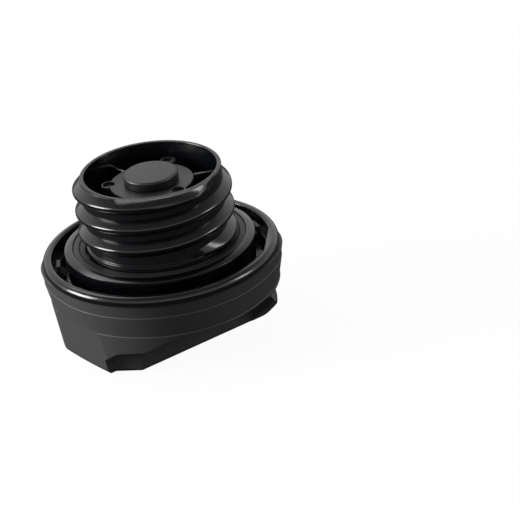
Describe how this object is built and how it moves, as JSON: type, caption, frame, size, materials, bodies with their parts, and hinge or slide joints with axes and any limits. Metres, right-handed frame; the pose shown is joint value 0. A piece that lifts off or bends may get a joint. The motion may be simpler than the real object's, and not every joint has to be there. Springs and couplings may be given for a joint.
{
  "type": "fuel filler cap",
  "caption": "Screw-in fuel filler cap with a locking grip handle, rounded lip, coarse thread on a tube, and a vented pressure-relief valve hub.",
  "frame": {"origin": "centre of the grip bar's flat outer face, on the cap's axis", "axes": "+Z along the cap's axis towards the threaded end, +X along the grip bar"},
  "size_m": [0.076, 0.076, 0.057],
  "materials": {
    "shell_plastic": "fine grain",
    "gloss_plastic": "gloss black",
    "hub_plastic": "satin black",
    "rubber": "moulded",
    "acetal": "natural",
    "lock_zinc": "die cast zinc",
    "lock_plug_metal": "satin plated",
    "brass": "stamped",
    "spring_steel": "drawn wire"
  },
  "bodies": {
    "handle": {"handle_shell": "shell_plastic", "retaining_ring": "gloss_plastic", "lock_housing": "lock_zinc", "lock_oring": "rubber", "lock_snap_ring": "spring_steel", "bolt_cover": "lock_zinc", "bolt_cover_screws": "spring_steel", "thrust_washer": "acetal"},
    "lock_core": {"lock_plug": "lock_plug_metal", "lock_wafers": "brass", "lock_cam": "lock_zinc", "cam_pin": "spring_steel"},
    "lock_bolt": {"locking_bolt": "lock_zinc"},
    "ratchet": {"drive_ring": "acetal", "ratchet_pawls": "spring_steel", "wave_spring": "spring_steel"},
    "closure": {"threaded_body": "gloss_plastic", "gasket": "rubber", "valve_cover": "hub_plastic", "valve_button": "hub_plastic", "pressure_spring": "spring_steel"},
    "pressure_valve": {"pressure_plate": "acetal", "pressure_seal": "rubber", "vacuum_spring": "spring_steel"},
    "vacuum_valve": {"vacuum_valve": "acetal", "vacuum_clip": "spring_steel"}
  },
  "joints": [
    {"name": "key_turn", "type": "hinge", "parent": "handle", "child": "lock_core", "pos_m": [0, 0, 0.0118], "axis": [0, 0, -1], "range_deg": [0, 90]},
    {"name": "bolt_slide", "type": "slide", "parent": "handle", "child": "lock_bolt", "axis": [1, 0, 0], "range_m": [0, 0.0032]},
    {"name": "ratchet_freewheel", "type": "hinge", "parent": "handle", "child": "ratchet", "pos_m": [0, 0, 0.0248], "axis": [0, 0, 1], "continuous": true},
    {"name": "ratchet_slip", "type": "hinge", "parent": "ratchet", "child": "closure", "pos_m": [0, 0, 0.0268], "axis": [0, 0, 1], "continuous": true},
    {"name": "pressure_relief", "type": "slide", "parent": "closure", "child": "pressure_valve", "axis": [0, 0, -1], "range_m": [0, 0.0015], "stiffness_N_per_m": 300, "springref_m": -0.003, "deforming": ["pressure_spring"]},
    {"name": "vacuum_relief", "type": "slide", "parent": "pressure_valve", "child": "vacuum_valve", "axis": [0, 0, 1], "range_m": [0, 0.0012], "stiffness_N_per_m": 80, "springref_m": -0.001, "deforming": ["vacuum_spring"]}
  ],
  "couplings": [
    {"joint": "bolt_slide", "follows": "key_turn", "m_per_rad": 0.0019807}
  ]
}
